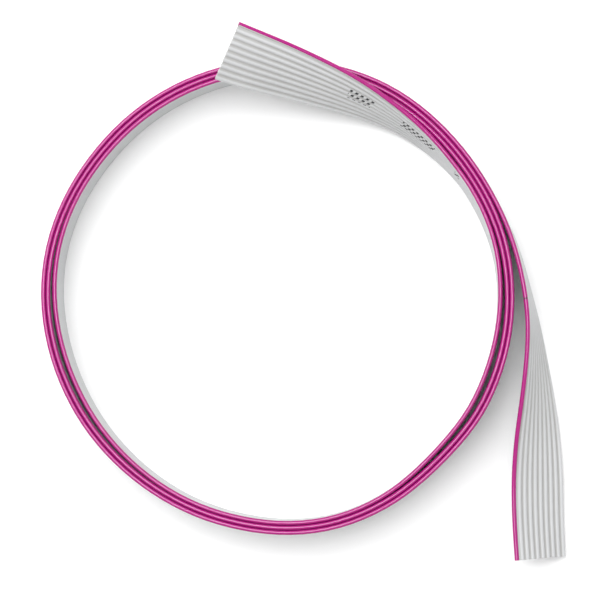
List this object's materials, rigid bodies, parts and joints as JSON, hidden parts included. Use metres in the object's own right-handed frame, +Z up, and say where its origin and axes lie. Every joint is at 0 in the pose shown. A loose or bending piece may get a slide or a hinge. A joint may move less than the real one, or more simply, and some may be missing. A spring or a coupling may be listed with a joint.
{
  "type": "flat ribbon cable",
  "caption": "Flat ribbon cable of round wires joined side by side, stood on edge in a small ring with both cut ends led off and twisted.",
  "frame": {"origin": "middle of the ring, on the surface that the ribbon's edge stands on", "axes": "+Z up through the ring's eye, +X through the place where both ends leave the ring, +Y the way the inner end sets off"},
  "size_m": [0.0926, 0.1212, 0.0203],
  "materials": {
    "grey_pvc": "satin light grey vinyl",
    "magenta_pvc": "satin magenta vinyl",
    "tinned_copper": "tinned copper"
  },
  "bodies": {
    "root": {"grey_insulation": "grey_pvc", "magenta_edge_insulation": "magenta_pvc", "conductor_01": "tinned_copper", "conductor_02": "tinned_copper", "conductor_03": "tinned_copper", "conductor_04": "tinned_copper", "conductor_05": "tinned_copper", "conductor_06": "tinned_copper", "conductor_07": "tinned_copper", "conductor_08": "tinned_copper", "conductor_09": "tinned_copper", "conductor_10": "tinned_copper"}
  },
  "joints": []
}
